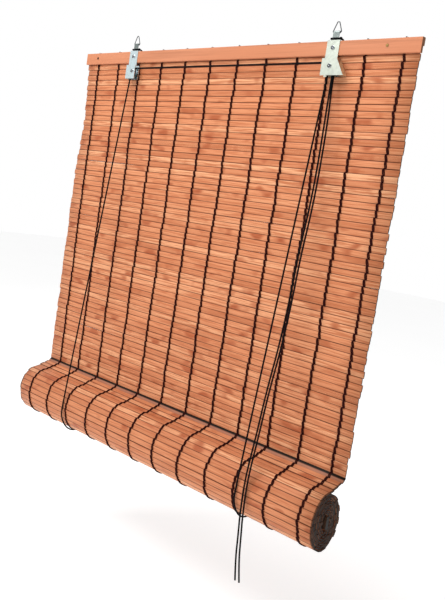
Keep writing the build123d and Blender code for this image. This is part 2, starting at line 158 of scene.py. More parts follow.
class BlindColours(bpy.types.PropertyGroup):
    """Colours of the finishes, as linear values."""

    bamboo: colour_of("Bamboo", "Plain bamboo", 0.64, 0.236, 0.108)
    bamboo_dark: colour_of("Dark Bamboo", "Darker, redder slats", 0.44, 0.128, 0.050)
    bamboo_node: colour_of("Bamboo Node", "Patches where the cane had a node", 0.36, 0.080, 0.028)
    # Dark slat edges: partly the rind's own colour, partly painted shade of the gaps between slats.
    edge_rind_and_gap_shade: colour_of("Slat Edge", "Darkened slat edges", 0.085, 0.020, 0.008)
    # Very dark: partly the end grain's colour, partly painted shade; also the painted shade on the
    # folded slat and at wound slats' ends.
    end_grain_and_shade: colour_of("Slat End", "Cut ends of the slats", 0.010, 0.006, 0.004)
    rail: colour_of("Head Rail", "Stained rail wood", 0.575, 0.220, 0.112)
    thread: colour_of("Thread", "Warp threads", 0.020, 0.0035, 0.0030)
    cord: colour_of("Cord", "Lift and pull cords", 0.0022, 0.0022, 0.0027)
    zinc: colour_of("Zinc", "Zinc-plated sheet", 0.72, 0.77, 0.67)
    left_zinc: colour_of("Left Zinc", "Bluer plating of the left bracket", 0.80, 0.95, 0.99)
    steel: colour_of("Steel", "Wire, rivets and screws", 0.46, 0.48, 0.50)
    brass: colour_of("Brass", "Pins and lock roller", 0.66, 0.43, 0.15)
    plastic: colour_of("Wheel Plastic", "Moulded wheels", 0.02, 0.02, 0.022)


class BlindStudio(bpy.types.PropertyGroup):
    """Camera, lamps and floor."""

    camera_place: FloatVectorProperty(
        name="Camera",
        description="Place of the camera",
        subtype="XYZ",
        default=(0.74236, -0.74428, -0.24624),
    )
    azimuth: number_of("Azimuth", "Turn round the blind, in degrees", 42.21)
    elevation: number_of("Elevation", "Height of the view, in degrees", 6.21)
    roll: number_of("Roll", "Lean of the view, in degrees", 8.78)
    lens: number_of("Lens", "Focal length in millimetres", 45.5)
    floor_drop: length_of("Floor Drop", "Floor below the cord ends", 0.12)
    key_power: number_of("Key Power", "Power of the main lamp in watts", 10.0)
    top_power: number_of("Top Power", "Power of the upper lamp in watts", 17.0)
    surround: number_of("Surround", "Light from the white surround", 0.52)
    side_fall: number_of("Side Fall", "How much dimmer the surround is on the right", 0.30)


# ------------------ node helpers
class Value:
    """A node's output that is worked with like a number: each operation adds a Math node."""

    def __init__(self, tree, socket):
        self.tree, self.socket = tree, socket

    def math(self, operation, *values, clamp=False):
        """This value, with the others, through a Math node."""
        inputs = dict(enumerate((self, *values)))
        return result(self.tree, "ShaderNodeMath", inputs, operation=operation, use_clamp=clamp)

    def vector_math(self, operation, inputs, output=0):
        """This vector through a Vector Math node."""
        inputs = {0: self, **inputs}
        return result(self.tree, "ShaderNodeVectorMath", inputs, output, operation=operation)

    def times_plus(self, factor, added, clamp=False):
        """This value times a factor plus another, in one node."""
        return self.math("MULTIPLY_ADD", factor, added, clamp=clamp)

    def __abs__(self):
        return self.math("ABSOLUTE")

    def __add__(self, other):
        return self.math("ADD", other)

    def __sub__(self, other):
        return self.math("SUBTRACT", other)

    def __mul__(self, other):
        return self.math("MULTIPLY", other)

    def __truediv__(self, other):
        return self.math("DIVIDE", other)


def node(tree, kind, inputs=None, **settings):
    """Add a node, set what it holds, and link or fill its inputs."""
    made = tree.nodes.new(kind)
    for key, value in settings.items():
        setattr(made, key, value)
    for key, value in (inputs or {}).items():
        if isinstance(value, Value):
            tree.links.new(value.socket, made.inputs[key])
        else:
            made.inputs[key].default_value = value
    return made


def result(tree, kind, inputs=None, output=0, **settings):
    """Add a node and return one of its outputs."""
    return Value(tree, node(tree, kind, inputs, **settings).outputs[output])


def vector(tree, x=0.0, y=0.0, z=0.0):
    """A vector joined from three values."""
    return result(tree, "ShaderNodeCombineXYZ", {"X": x, "Y": y, "Z": z})


def split(value):
    """The three parts of a vector."""
    made = node(value.tree, "ShaderNodeSeparateXYZ", {0: value})
    return [Value(value.tree, socket) for socket in made.outputs]


def noise(place, scale, detail=2.0):
    """A noise value between 0 and 1."""
    inputs = {"Vector": place, "Scale": scale, "Detail": detail}
    return result(place.tree, "ShaderNodeTexNoise", inputs)


def grain(place, stretch, detail):
    """Noise in coordinates scaled by three numbers."""
    inputs = {"Vector": place, "Scale": stretch}
    return noise(result(place.tree, "ShaderNodeMapping", inputs), 1.0, detail)


def white_noise(key):
    """An even random value for each number."""
    return result(key.tree, "ShaderNodeTexWhiteNoise", {"W": key}, "Value", noise_dimensions="1D")


def ramp(value, low, high, out_low=0.0, out_high=1.0):
    """value taken smoothly from low..high to out_low..out_high."""
    inputs = {"Value": value, "From Min": low, "From Max": high, "To Min": out_low, "To Max": out_high}
    return result(value.tree, "ShaderNodeMapRange", inputs, interpolation_type="SMOOTHSTEP")


def blend(share, first, second):
    """Mix two colours, each a Value or three numbers."""
    tree = next(part.tree for part in (share, first, second) if isinstance(part, Value))
    sides = [part if isinstance(part, Value) else (*part, 1.0) for part in (first, second)]
    inputs = {0: share, 6: sides[0], 7: sides[1]}
    return result(tree, "ShaderNodeMix", inputs, 2, data_type="RGBA")


def stain(colour, other, value, low, high, out_low=0.0, out_high=1.0):
    """The colour, with as much of the other as the value's ramp gives."""
    return blend(ramp(value, low, high, out_low, out_high), colour, other)


def scaled(colour, *factors):
    """A colour with each channel multiplied, by its own factor or by one for all."""
    return tuple(channel * factor for channel, factor in zip(colour, factors * 3))


def new_material(name, roughness, metallic=0.0, coat=0.0, specular=0.5):
    """A material, its tree and its place in metres. Even values are set on the shader itself."""
    made = bpy.data.materials.new(name)
    made.use_nodes = True
    tree = made.node_tree
    sockets = tree.nodes["Principled BSDF"].inputs
    sockets["Roughness"].default_value = roughness
    sockets["Metallic"].default_value = metallic
    sockets["Coat Weight"].default_value = coat
    sockets["Specular IOR Level"].default_value = specular
    return made, tree, result(tree, "ShaderNodeTexCoord", output="Object")


def finish(material, colour, roughness, height, strength, distance):
    """Link a colour, a roughness unless it is even, and a height that drives the normal."""
    tree = material.node_tree
    inputs = {"Height": height, "Strength": strength, "Distance": distance}
    normal = result(tree, "ShaderNodeBump", inputs)
    sockets = {"Base Color": colour, "Roughness": roughness, "Normal": normal}
    for label, value in sockets.items():
        if value is not None:
            tree.links.new(value.socket, tree.nodes["Principled BSDF"].inputs[label])
    return material


def attribute(tree, name):
    """The value of a named attribute of the surface."""
    return result(tree, "ShaderNodeAttribute", output="Fac", attribute_name=name)


def end_face(tree):
    """1 on faces that look along the blind, such as a slat's cut end."""
    facing = split(result(tree, "ShaderNodeNewGeometry", output="True Normal"))[0]
    return ramp(abs(facing), 0.7, 0.9)


# ------------------ finishes
def bamboo_material(name, painted_grey=0.0, folded=False, wound=False):
    """Stained split bamboo: each slat its own tone, long fibres, node patches and dark edges that are
    partly rind colour, partly painted gap shade. The folded slat has a painted dull mauve cast and
    painted crevice shade on its upper half; wound slats get a painted shadow band just in from their
    ends."""
    colours = bpy.context.scene.blind_colours
    made, tree, place = new_material(name, 0.48, specular=0.12)
    slat, across = attribute(tree, "slat"), attribute(tree, "across")
    own = place.vector_math("ADD", {1: vector(tree, slat * 3.71, slat)})
    tone = white_noise(slat)
    long_tone = grain(own, (5.5, 1.0, 1.0), 1.0)
    fibres = grain(own, (26.0, 800.0, 800.0), 3.0)
    patches = grain(own, (24.0, 1.0, 40.0), 1.5)
    specks = grain(own, (160.0, 900.0, 900.0), 2.0)

    dark = ramp(tone, 0.60, 1.0, 0.0, 0.60) + ramp(long_tone, 0.45, 0.8, 0.0, 0.6)
    colour = blend(dark, colours.bamboo, colours.bamboo_dark)
    pale = ramp(tone, 0.0, 0.42, 0.9, 0.15) * ramp(fibres, 0.3, 0.65)
    colour = blend(pale, colour, (0.82, 0.42, 0.225))
    spot = ramp(patches, 0.57, 0.71) * ramp(fibres, 0.25, 0.65, 0.50, 0.95)
    colour = blend(spot, colour, colours.bamboo_node)
    colour = stain(colour, colours.bamboo_dark, fibres, 0.56, 0.38, 0.0, 0.55)
    colour = stain(colour, colours.bamboo_node, specks, 0.66, 0.80, 0.0, 0.35)
    # Painted light: a dull mauve cast for slats seen in grazing light, strong on the folded slat and
    # faint on the roll.
    colour = blend(painted_grey, colour, (0.25, 0.14, 0.11))
    # Darken the long edges: partly the rind's own colour, partly painted shade in the gaps between
    # slats.
    gap = grain(own, (16.0, 1.0, 1.0), 2.0)
    reach = gap.times_plus(0.22, abs(across))
    edge_from = 0.85 if wound else 0.90
    colour = stain(colour, colours.edge_rind_and_gap_shade, reach, edge_from, edge_from + 0.17, 0.0, 0.92)
    if wound:
        # Painted shadow band a short way in from a wound slat's ends.
        out = abs(split(place)[0])
        colour = stain(colour, colours.end_grain_and_shade, out, END_SHADE_FROM, END_SHADE_TO, 0.0, 0.76)
    if folded:
        # Painted crevice shade: the folded slat's upper half is painted nearly black.
        colour = stain(colour, colours.end_grain_and_shade, across, -0.15, 0.30)
    # Cut end faces: the end grain's colour, darkened further as painted shade.
    end_grain = grain(own, (1.0, 2600.0, 2600.0), 2.0)
    end_colour = blend(ramp(end_grain, 0.52, 0.74), colours.end_grain_and_shade, (0.060, 0.043, 0.033))
    colour = blend(end_face(tree), colour, end_colour)
    height = fibres.times_plus(0.8, patches * 0.6)
    return finish(made, colour, ramp(fibres, 0.2, 0.8, 0.36, 0.56), height, 0.35, 0.0003)


def wood_material(name, colour, end_colour):
    """Smooth stained wood with a long straight grain."""
    made, tree, place = new_material(name, 0.45, coat=0.02, specular=0.12)
    lines = grain(place, (5.0, 260.0, 260.0), 4.0)
    fine = grain(place, (22.0, 1500.0, 1500.0), 2.0)
    cloud = grain(place, (4.0, 30.0, 30.0), 2.0)
    darker, paler = scaled(colour, 0.62), scaled(colour, 1.12, 1.25, 1.35)
    body = blend(ramp(cloud, 0.35, 0.75, 0.0, 0.55), colour, paler)
    body = stain(body, darker, lines, 0.48, 0.75, 0.0, 0.5)
    body = stain(body, darker, fine, 0.55, 0.8, 0.0, 0.3)
    body = blend(end_face(tree), body, end_colour)
    return finish(made, body, ramp(lines, 0.3, 0.8, 0.34, 0.5), lines + fine, 0.25, 0.0002)


def thread_material(name):
    """Twisted dyed cotton: slanting plies along the thread."""
    colours = bpy.context.scene.blind_colours
    made, tree, place = new_material(name, 0.85, specular=0.06)
    x, y, z = split(place)
    ply = ((z + x * 0.9) * (TURN / 0.0011)).math("SINE")
    fuzz = noise(place, 2600.0, 2.0)
    lighter = scaled(colours.thread, 3.0)
    colour = blend(ramp(ply, -0.6, 1.0, 0.0, 0.7), colours.thread, lighter)
    colour = stain(colour, lighter, fuzz, 0.5, 0.8, 0.0, 0.4)
    return finish(made, colour, None, ply + fuzz, 0.5, 0.0002)


def braid_material(name, on_surface_map):
    """Black braided cord. A tube has its own map along its length; a knot is braided in place."""
    colours = bpy.context.scene.blind_colours
    made, tree, place = new_material(name, 0.62, specular=0.06)
    if on_surface_map:
        u, v, unused = split(result(tree, "ShaderNodeTexCoord", output="UV"))
        round_way, along = u * (TURN * 6), v * (TURN / 0.0021)
    else:
        x, y, z = split(place)
        round_way, along = x * (TURN / 0.0012), z * (TURN / 0.0012)
    braid = (round_way + along).math("SINE").math("MAXIMUM", (round_way - along).math("SINE"))
    fuzz = noise(place, 1800.0, 2.0)
    colour = blend(ramp(braid, 0.0, 1.0, 0.0, 0.75), colours.cord, scaled(colours.cord, 4.0))
    height = fuzz.times_plus(0.3, braid)
    return finish(made, colour, ramp(fuzz, 0.3, 0.7, 0.55, 0.75), height, 0.6, 0.00025)


def plated_material(name, colour, roughness, wear, left_colour=None):
    """Plated or drawn metal: cloudy spangle, fine brush lines and darker stains.
    With a left colour, pieces left of the middle have that one."""
    made, tree, place = new_material(name, roughness, metallic=1.0)
    plain = colour
    if left_colour is not None:
        x, y, z = split(place)
        plain = blend(ramp(x, -0.01, 0.01), left_colour, colour)
        # Painted shade: the bracket parts above the rail's top, the upright tongue, are darkened.
        plain = stain(plain, (0.24, 0.28, 0.28), z, rail_high.z - 0.0005, rail_high.z + 0.003)
    inputs = {"Vector": place, "Scale": 420.0, "Randomness": 1.0}
    spangle = result(tree, "ShaderNodeTexVoronoi", inputs, "Color")
    cloud = noise(place, 130.0, 3.0)
    lines = grain(place, (1400.0, 900.0, 110.0), 2.0)
    darker = scaled(colour, 0.55)
    tint = result(tree, "ShaderNodeSeparateColor", {0: spangle})
    body = blend(tint * 0.25, plain, darker)
    body = stain(body, darker, cloud, 0.5, 0.78, 0.0, wear)
    rough = cloud.times_plus(0.25, roughness - 0.1, True)
    return finish(made, body, rough, lines + cloud, 0.18, 0.0001)


def head_material(node_name, colour, light_and_shade_rings):
    """A turned head whose brightness is painted in bands: each pair is a radius from the middle
    outwards and how bright the head is painted from there. The callers paint a bright middle as a
    painted highlight and a dark band as the painted shadow of its recess.
    """
    made, tree, place = new_material(node_name, 0.34, metallic=1.0)
    low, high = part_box(node_name)
    x, y, z = split(place)
    middle = ((low.x + high.x) / 2, 0.0, (low.z + high.z) / 2)
    away = vector(tree, x, 0.0, z).vector_math("DISTANCE", {1: middle}, "Value")
    scuff = noise(place, 1100.0, 3.0)
    body = scaled(colour, light_and_shade_rings[0][1])
    for radius, bright in light_and_shade_rings[1:]:
        body = stain(body, scaled(colour, bright), away, radius - 0.00015, radius + 0.00015)
    body = stain(body, scaled(colour, 0.3), scuff, 0.5, 0.75, 0.0, 0.5)
    return finish(made, body, ramp(scuff, 0.3, 0.7, 0.26, 0.44), scuff, 0.2, 0.0001)


def pin_material(name):
    """The left pin is blackened; the right one is brass with a dark middle."""
    colours = bpy.context.scene.blind_colours
    made, tree, place = new_material(name, 0.35, metallic=1.0)
    low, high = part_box("rail_pins")
    right_pin = Vector((high.x - 0.0017, low.y, (low.z + high.z) / 2))
    away = place.vector_math("DISTANCE", {1: right_pin}, "Value")
    dull = noise(place, 900.0, 3.0)
    brass = blend(ramp(dull, 0.4, 0.7), colours.brass, (0.4, 0.24, 0.08))
    brass = stain(brass, (0.02, 0.014, 0.01), away, 0.0006, 0.0009, 1.0, 0.0)
    brass = stain(brass, (0.06, 0.035, 0.02), away, 0.0013, 0.0015)
    black = blend(ramp(dull, 0.4, 0.7), (0.02, 0.015, 0.013), (0.06, 0.045, 0.04))
    both = blend(ramp(split(place)[0], -0.01, 0.01), black, brass)
    return finish(made, both, ramp(dull, 0.3, 0.7, 0.3, 0.5), dull, 0.2, 0.0001)


def moulded_material(name):
    """Moulded plastic with a fine satin texture and rubbed edges."""
    plastic = bpy.context.scene.blind_colours.plastic
    made, tree, place = new_material(name, 0.45)
    rub = noise(place, 260.0, 2.0)
    colour = blend(ramp(rub, 0.5, 0.75, 0.0, 0.8), plastic, scaled(plastic, 2.6))
    fine = noise(place, 1500.0, 3.0)
    return finish(made, colour, ramp(rub, 0.3, 0.7, 0.38, 0.55), fine, 0.15, 0.0001)


def shared_material(name, maker, *values):
    """The material of this name, made the first time that it is asked for."""
    return bpy.data.materials.get(name) or maker(name, *values)


def dress(node_name, material):
    """Give a CAD node one finish."""
    target = frame["nodes"][node_name]
    target.data.materials.clear()
    target.data.materials.append(material)


# ------------------ geometry trees
def added(name, data):
    """A new object in the scene."""
    made = bpy.data.objects.new(name, data)
    bpy.context.collection.objects.link(made)
    return made


def plain_mesh(holder):
    """The mesh that an object's modifier or curve gives. The object is removed."""
    depsgraph = bpy.context.evaluated_depsgraph_get()
    mesh = bpy.data.meshes.new_from_object(holder.evaluated_get(depsgraph))
    if not mesh.vertices:
        raise RuntimeError(f"{holder.name} made an empty mesh")
    bpy.data.objects.remove(holder)
    return mesh


def geometry_tree(name, inputs):
    """A Geometry Nodes tree with named inputs: whole numbers, lengths and, with None, a material."""
    tree = bpy.data.node_groups.new(name, "GeometryNodeTree")
    kinds = {int: "NodeSocketInt", float: "NodeSocketFloat", type(None): "NodeSocketMaterial"}
    for label, value in inputs.items():
        socket = tree.interface.new_socket(label, in_out="INPUT", socket_type=kinds[type(value)])
        if value is not None:
            socket.default_value = value
    tree.interface.new_socket("Geometry", in_out="OUTPUT", socket_type="NodeSocketGeometry")
    given = tree.nodes.new("NodeGroupInput").outputs
    return tree, {label: Value(tree, given[label]) for label in inputs}


def end_tree(geometry, group):
    """Give the geometry its material and make it what the tree returns."""
    inputs = {"Geometry": geometry, "Material": group["Material"]}
    coloured = result(geometry.tree, "GeometryNodeSetMaterial", inputs)
    node(geometry.tree, "NodeGroupOutput", {"Geometry": coloured})


def grown(name, tree, values):
    """Run a tree once with the given inputs and return the plain mesh as an object."""
    grower = added(name + "_start", bpy.data.meshes.new(name + "_start"))
    modifier = grower.modifiers.new(name, "NODES")
    modifier.node_group = tree
    for item in tree.interface.items_tree:
        if item.in_out == "INPUT" and item.name in values:
            modifier[item.identifier] = values[item.name]
    mesh = plain_mesh(grower)
    mesh.name = name
    return added(name, mesh)


def read(tree, what):
    """The index, place, normal or tangent of each point."""
    return result(tree, "GeometryNodeInput" + what)


def numbered(geometry, label, value=None):
    """Store a value on each point, its index unless another value is given."""
    value = value or read(geometry.tree, "Index")
    inputs = {"Geometry": geometry, "Name": label, "Value": value}
    kind = "GeometryNodeStoreNamedAttribute"
    return result(geometry.tree, kind, inputs, data_type="FLOAT", domain="POINT")


def named(tree, label):
    """Read a stored value."""
    return result(tree, "GeometryNodeInputNamedAttribute", {"Name": label}, data_type="FLOAT")


def realized(instances):
    """Instances made into plain geometry."""
    return result(instances.tree, "GeometryNodeRealizeInstances", {"Geometry": instances})


def repeated(piece, points, **settings):
    """A piece on every point, as plain geometry."""
    inputs = {"Points": points, "Instance": piece, **settings}
    return realized(result(piece.tree, "GeometryNodeInstanceOnPoints", inputs))


def placed(geometry, **inputs):
    """Geometry moved by an Offset or to a Position, where a Selection allows."""
    return result(geometry.tree, "GeometryNodeSetPosition", {"Geometry": geometry, **inputs})


def slat_bar(tree, group):
    """One slat round the origin, long in X: rounded long edges, with across running from -1 to 1."""
    size = vector(tree, group["Length"], group["Thickness"], group["Height"])
    inputs = {"Size": size, "Vertices X": 15, "Vertices Y": 2, "Vertices Z": 7}
    x, y, z = split(read(tree, "Position"))
    half = group["Height"] * 0.5
    across = (z / half * (math.pi / 2)).math("SINE")
    thin = abs(across).math("POWER", 5.0).times_plus(-0.72, 1.0)
    bar = numbered(result(tree, "GeometryNodeMeshCube", inputs), "across", across)
    return placed(bar, Position=vector(tree, x, y * thin, across * half))


def finish_slats(solid, group, uneven):
    """Let the bars' ends and edges run unevenly, smooth their long faces and colour them."""
    tree = solid.tree
    x = split(read(tree, "Position"))[0]
    slat, seed, waver = named(tree, "slat"), group["Seed"], group["Waver"]
    reach = x / (group["Length"] * 0.5)

    def drawn(offset):
        """The slat's own random value for this offset, between -0.5 and 0.5."""
        return white_noise(slat + seed + offset) - 0.5

    hump = (slat * group["Pitch"] - BOW_MIDDLE) / BOW_HALF
    hump = (hump * hump).times_plus(-1.0, 1.0).math("MAXIMUM", 0.0)
    right = drawn(0.37) * uneven
    left = drawn(0.71) * (uneven * LEFT_MORE) + hump * group["Left Bow"]
    to_right = reach.math("MAXIMUM", 0.0) * right
    to_left = (reach * -1.0).math("MAXIMUM", 0.0) * left
    inputs = {"Vector": vector(tree, x * 7.0, slat * 5.3, seed), "Scale": 1.0, "Detail": 1.0}
    out_wave, up_wave, unused = split(result(tree, "ShaderNodeTexNoise", inputs, "Color"))
    tilt = drawn(0.13) * named(tree, "across") * TILT
    out = (out_wave - 0.5).times_plus(waver, tilt)
    shift = vector(tree, to_right + to_left, out, (up_wave - 0.5) * waver)
    long_face = abs(split(read(tree, "Normal"))[0]).math("LESS_THAN", 0.5)
    inputs = {"Geometry": placed(solid, Offset=shift), "Selection": long_face}
    end_tree(result(tree, "GeometryNodeSetShadeSmooth", inputs, domain="FACE"), group)


SLAT_INPUTS = {
    "Pitch": 0.008,
    "Length": 0.6,
    "Height": 0.007,
    "Thickness": 0.0016,
    "Left Bow": 0.0,
    "Waver": 0.0,
    "Material": None,
}
ROLL_INPUTS = {
    "Middle Y": 0.0,
    "Middle Z": 0.0,
    "Half Depth": 0.028,
    "Half Height": 0.036,
    "Core Depth": 0.006,
    "Core Height": 0.011,
    "Turns": 9.0,
    "From Turn": 0.0,
    "To Turn": 9.0,
    "Strip Y": 0.0,
    "Strip Z": 0.0,
}
COLUMN_INPUTS = {"Columns": 12, "First Column": 0.0, "Spacing": 0.05, "Material": None}
THREAD_INPUTS = {
    **COLUMN_INPUTS,
    "Spread": 0.0012,
    "Radius": 0.0005,
    "Zigzag": 0.0008,
    "Dip": 0.0003,
    "Pitch": 0.008,
    "Phase": 0.0,
    "Seed": 5,
}
THREAD_STEPS = 6.0  # points on a thread for each slat


def curtain_tree():
    """Slats that hang one under the other."""
    inputs = {"Rows": 10, "First Row": 0, "First Middle": 0.0, "Middle Depth": 0.0, "Seed": 3}
    tree, group = geometry_tree("hanging curtain", {**SLAT_INPUTS, **inputs})
    top = group["First Middle"] - group["First Row"] * group["Pitch"]
    inputs = {
        "Count": group["Rows"],
        "Start Location": vector(tree, 0.0, group["Middle Depth"], top),
        "Offset": vector(tree, 0.0, 0.0, group["Pitch"] * -1.0),
    }
    line = result(tree, "GeometryNodeMeshLine", inputs)
    row = read(tree, "Index") + group["First Row"]
    bars = repeated(slat_bar(tree, group), numbered(line, "slat", row))
    finish_slats(bars, group, CURTAIN_UNEVEN)
    return tree


def spiral(tree, group, samples, lift, with_strip):
    """The roll's line in the plane across the blind, raised outwards by lift.
    With the strip, its first point is where the strip leaves the curtain."""
    index = read(tree, "Index")
    first = 1 if with_strip else 0
    share = (index - first) / (samples - 1 - first)
    span = group["To Turn"] - group["From Turn"]
    turn = share.times_plus(span, group["From Turn"])
    inward = turn / group["Turns"]
    angle = turn.times_plus(TURN, math.pi / 2)

    def place_on(middle, half, core, wave):
        """The line's place one way: it comes in evenly from its half size to the core's."""
        size = inward.times_plus(group[core] - group[half], group[half]) + lift
        return size.times_plus(angle.math(wave), group[middle])

    y = place_on("Middle Y", "Half Depth", "Core Depth", "COSINE")
    z = place_on("Middle Z", "Half Height", "Core Height", "SINE")
    line = result(tree, "GeometryNodeMeshLine", {"Count": samples})
    line = placed(line, Position=vector(tree, 0.0, y, z))
    if with_strip:
        inputs = {2: index, 3: 0}
        at_start = result(tree, "FunctionNodeCompare", inputs, data_type="INT", operation="EQUAL")
        strip = vector(tree, 0.0, group["Strip Y"], group["Strip Z"] + lift)
        line = placed(line, Selection=at_start, Position=strip)
    return result(tree, "GeometryNodeMeshToCurve", {"Mesh": line})


def roll_tree(with_strip):
    """Slats wound along the roll's spiral, each turned to lie on it."""
    name = "wound slats" if with_strip else "wound core"
    tree, group = geometry_tree(name, {**ROLL_INPUTS, **SLAT_INPUTS, "Seed": 11})
    path = spiral(tree, group, 420, group["Thickness"] * -0.5, with_strip)
    inputs = {"Curve": path, "Length": group["Pitch"]}
    cut = node(tree, "GeometryNodeCurveToPoints", inputs, mode="LENGTH").outputs
    inputs = {"Vector": Value(tree, cut["Tangent"])}
    turned = result(tree, "FunctionNodeAlignRotationToVector", inputs, axis="Z", pivot_axis="X")
    points = numbered(Value(tree, cut["Points"]), "slat")
    finish_slats(repeated(slat_bar(tree, group), points, Rotation=turned), group, ROLL_UNEVEN)
    return tree


def finish_threads(path, group):
    """Lay two threads along the path in each column, pinched and pulled in at every gap."""
    tree = path.tree
    inputs = {"Curve": path, "Length": group["Pitch"] / THREAD_STEPS}
    even = result(tree, "GeometryNodeResampleCurve", inputs, mode="LENGTH")
    index = read(tree, "Index")
    column = (index * 0.5).math("FLOOR")
    side = index.math("MODULO", 2.0) * 2.0 - 1.0
    line = result(tree, "GeometryNodeMeshLine", {"Count": group["Columns"] * 2.0})
    line = numbered(numbered(line, "side", side), "column", column)
    x = column.times_plus(group["Spacing"], group["First Column"])
    line = placed(line, Position=vector(tree, x))
    strands = repeated(numbered(even, "arc", index / THREAD_STEPS), line)

    rows = named(tree, "arc") + group["Phase"]
    over = abs((rows * math.pi).math("SINE")).math("POWER", 0.6)
    apart = over.times_plus(0.45, 0.55) * (group["Spread"] * 0.5)
    column = named(tree, "column")
    inputs = {"Vector": vector(tree, rows.math("FLOOR"), column, group["Seed"])}
    jog = result(tree, "ShaderNodeTexWhiteNoise", inputs, "Value", noise_dimensions="3D")
    drift = noise(vector(tree, rows * 0.21, column * 7.3, 0.5), 1.0, 1.0)
    jog = (jog - 0.5) + drift.times_plus(3.0, -1.5)
    lean = rows.math("FRACT") - 0.5
    jog = jog * 0.6 + lean * 0.9
    sideways = named(tree, "side").times_plus(apart, jog * group["Zigzag"])
    tangent = read(tree, "Tangent")
    outward = tangent.vector_math("CROSS_PRODUCT", {1: (1.0, 0.0, 0.0)})
    pulled = outward.vector_math("SCALE", {"Scale": (over - 1.0) * group["Dip"]})
    shift = pulled.vector_math("ADD", {1: vector(tree, sideways)})
    inputs = {"Resolution": 5, "Radius": group["Radius"]}
    section = result(tree, "GeometryNodeCurvePrimitiveCircle", inputs)
    inputs = {"Curve": placed(strands, Offset=shift), "Profile Curve": section, "Fill Caps": True}
    end_tree(realized(result(tree, "GeometryNodeCurveToMesh", inputs)), group)


def straight_thread_tree():
    """Threads down one face of the hanging curtain."""
    inputs = {**THREAD_INPUTS, "Depth": 0.0, "From": 0.0, "To": -0.5}
    tree, group = geometry_tree("hanging threads", inputs)
    start, end = (vector(tree, 0.0, group["Depth"], group[label]) for label in ("From", "To"))
    line = result(tree, "GeometryNodeCurvePrimitiveLine", {"Start": start, "End": end})
    finish_threads(line, group)
    return tree


def wound_thread_tree():
    """Threads over the strip and round the outside of the roll."""
    tree, group = geometry_tree("wound threads", {**THREAD_INPUTS, **ROLL_INPUTS, "Lift": 0.0})
    finish_threads(spiral(tree, group, 120, group["Lift"], True), group)
    return tree


def knot_tree():
    """One small knot at the head of each column, pulled down on the rail's top edge."""
    inputs = {**COLUMN_INPUTS, "Depth": 0.0, "Top": 0.0, "Radius": 0.0013, "Seed": 2}
    tree, group = geometry_tree("thread knots", inputs)
    inputs = {
        "Count": group["Columns"],
        "Start Location": vector(tree, group["First Column"], group["Depth"], group["Top"]),
        "Offset": vector(tree, group["Spacing"]),
    }
    line = result(tree, "GeometryNodeMeshLine", inputs)
    inputs = {"Radius": group["Radius"], "Subdivisions": 2}
    ball = result(tree, "GeometryNodeMeshIcoSphere", inputs)

    def drawn(low, high):
        """A random vector for each knot."""
        inputs = {"Seed": group["Seed"], 0: low, 1: high}
        return result(tree, "FunctionNodeRandomValue", inputs, data_type="FLOAT_VECTOR")

    turn = drawn((0.0, 0.0, 0.0), (3.0, 3.0, 3.0))
    squat = drawn((0.9, 0.8, 0.7), (1.5, 1.2, 1.1))
    solid = repeated(ball, line, Rotation=turn, Scale=squat)
    push = (noise(read(tree, "Position"), 900.0) - 0.5) * 0.0009
    offset = read(tree, "Normal").vector_math("SCALE", {"Scale": push})
    inputs = {"Geometry": placed(solid, Offset=offset)}
    end_tree(result(tree, "GeometryNodeSetShadeSmooth", inputs), group)
    return tree


# ------------------ the woven curtain
def slat_values(sizes, material):
    """Inputs that every slat tree shares."""
    return {
        "Pitch": sizes.pitch,
        "Length": sizes.length,
        "Height": sizes.height,
        "Thickness": sizes.thickness,
        "Material": material,
    }


def thread_values(sizes, material):
    """Inputs that every thread tree shares."""
    return {
        **column_values(sizes, material),
        "Spread": sizes.thread_spread,
        "Radius": sizes.thread_radius,
        "Zigzag": 0.0024,
        "Dip": 0.0004,
        "Pitch": sizes.pitch,
    }


def column_values(sizes, material):
    """Inputs that place the columns."""
    return {
        "Columns": sizes.columns,
        "First Column": sizes.first_column,
        "Spacing": sizes.column_spacing,
        "Material": material,
    }


def row_top(sizes, row):
    """Height of a row's upper edge."""
    return sizes.first_middle - (row - 0.5) * sizes.pitch


def fold_end(sizes):
    """Where the folded slat ends, across the blind and in height."""
    out, down = math.sin(FOLD_ANGLE) * sizes.pitch, math.cos(FOLD_ANGLE) * sizes.pitch
    return curtain_high.y - sizes.thickness / 2 - out, row_top(sizes, sizes.rows) - down


def roll_values(sizes):
    """Inputs that place the roll's spiral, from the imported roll's own box.
    Its strip starts a little past the end of the folded slat."""
    strip_y, strip_z = fold_end(sizes)
    return {
        "Middle Y": sizes.roll_middle_y,
        "Middle Z": sizes.roll_middle_z,
        "Turns": sizes.roll_turns,
        "Half Depth": sizes.roll_middle_y - roll_low.y + IN_AT_FRONT,
        "Half Height": sizes.roll_middle_z - roll_low.z + IN_AT_BOTTOM,
        "Core Depth": CORE_DEPTH,
        "Core Height": CORE_HEIGHT,
        "Strip Y": strip_y - STRIP_OUT * sizes.pitch,
        "Strip Z": strip_z + sizes.thickness / 2 - STRIP_DOWN * sizes.pitch,
    }


def fold_out(piece, hinge_y, hinge_z):
    """Lean a piece out of the curtain about a hinge along the blind."""
    hinge = Matrix.Translation((0.0, hinge_y, hinge_z))
    piece.data.transform(hinge @ Matrix.Rotation(-FOLD_ANGLE, 4, "X") @ hinge.inverted())


def crumple(piece, anchor_z, low_z):
    """Hang a piece from the head rail's frame with a mesh of its own; the share of its height that it
    would keep, from anchor_z and low_z, is worked out but not used.
    """
    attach(piece, "headrail_frame")
    keep = max(LEAST_KEEP, 1 - ROLL_LIFT / (anchor_z - low_z))
    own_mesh(piece)


